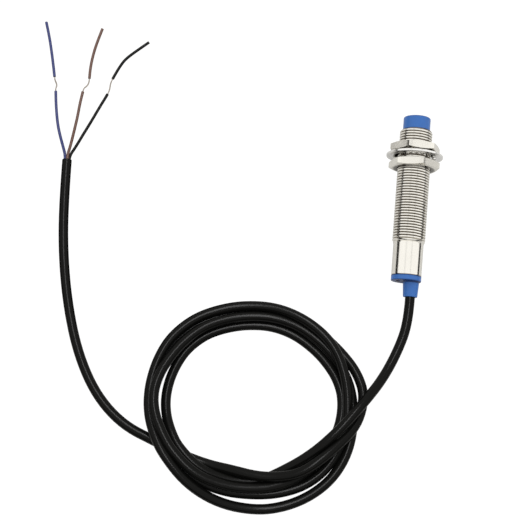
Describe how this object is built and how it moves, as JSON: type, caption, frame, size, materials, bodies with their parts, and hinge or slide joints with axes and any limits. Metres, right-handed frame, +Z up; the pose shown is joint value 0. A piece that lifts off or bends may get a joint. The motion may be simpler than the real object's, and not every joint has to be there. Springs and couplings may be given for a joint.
{
  "type": "inductive proximity sensor",
  "caption": "Threaded metal barrel sensor with a blue sensing cap, thin hexagon nuts, a toothed lock washer and a coiled cable with bared cores.",
  "frame": {"origin": "on the table under the middle of the sensor's body, cable left out", "axes": "+Y runs along the barrel towards the sensing face, +Z is up from the table, +X is to the right seen from behind; the barrel rises towards the front by about 6 degrees"},
  "size_m": [0.1568, 0.181, 0.0208],
  "materials": {
    "nickel": "bright nickel plate on brass",
    "spring_steel": "zinc-plated spring steel",
    "blue_plastic": "semi-gloss moulded plastic",
    "ferrite": "matte sintered ferrite",
    "bobbin_plastic": "natural moulded plastic",
    "copper_wire": "enamelled copper",
    "board": "green solder mask",
    "chip_black": "matte moulded epoxy",
    "chip_ceramic": "matte ceramic",
    "light_lens": "tinted clear epoxy",
    "tinned_wire": "tinned copper",
    "potting_resin": "cured epoxy",
    "cable_jacket": "satin PVC",
    "brown_insulation": "satin PVC",
    "black_insulation": "satin PVC",
    "blue_insulation": "satin PVC"
  },
  "bodies": {
    "housing": {"barrel": "nickel", "sensing_cap": "blue_plastic", "ferrite_core": "ferrite", "coil_bobbin": "bobbin_plastic", "coil_winding": "copper_wire", "coil_leads": "copper_wire", "circuit_board": "board", "oscillator_chip": "chip_black", "output_transistor": "chip_black", "voltage_regulator": "chip_black", "protection_diode": "chip_black", "resistors": "chip_black", "capacitors": "chip_ceramic", "end_cap": "blue_plastic", "indicator_light": "light_lens", "light_legs": "tinned_wire", "resin_plug": "potting_resin", "cable_entry": "cable_jacket", "brown_core_end": "brown_insulation", "black_core_end": "black_insulation", "blue_core_end": "blue_insulation", "cable_lead": "cable_jacket", "cable_coil": "cable_jacket", "cable_tail": "cable_jacket", "blue_core": "blue_insulation", "blue_strands": "tinned_wire", "blue_slug": "blue_insulation", "brown_core": "brown_insulation", "brown_strands": "tinned_wire", "brown_slug": "brown_insulation", "black_core": "black_insulation", "black_strands": "tinned_wire", "black_slug": "black_insulation"},
    "washer": {"lock_washer": "spring_steel"},
    "front_jam_nut": {"front_nut": "nickel"},
    "rear_jam_nut": {"rear_nut": "nickel"}
  },
  "joints": [
    {"name": "front_nut_travel", "type": "slide", "parent": "housing", "child": "washer", "axis": [0, 0.9944, 0.1055], "range_m": [-0.001, 0.005]},
    {"name": "front_nut_turn", "type": "hinge", "parent": "washer", "child": "front_jam_nut", "pos_m": [0, 0.02003, 0.01052], "axis": [0, 0.9944, 0.1055], "range_deg": [-360, 1800]},
    {"name": "rear_nut_travel", "type": "slide", "parent": "housing", "child": "rear_jam_nut", "axis": [0, 0.9944, 0.1055], "range_m": [-0.027, 0]}
  ],
  "couplings": [
    {"joint": "front_nut_turn", "follows": "front_nut_travel", "rad_per_m": 6283.2}
  ]
}
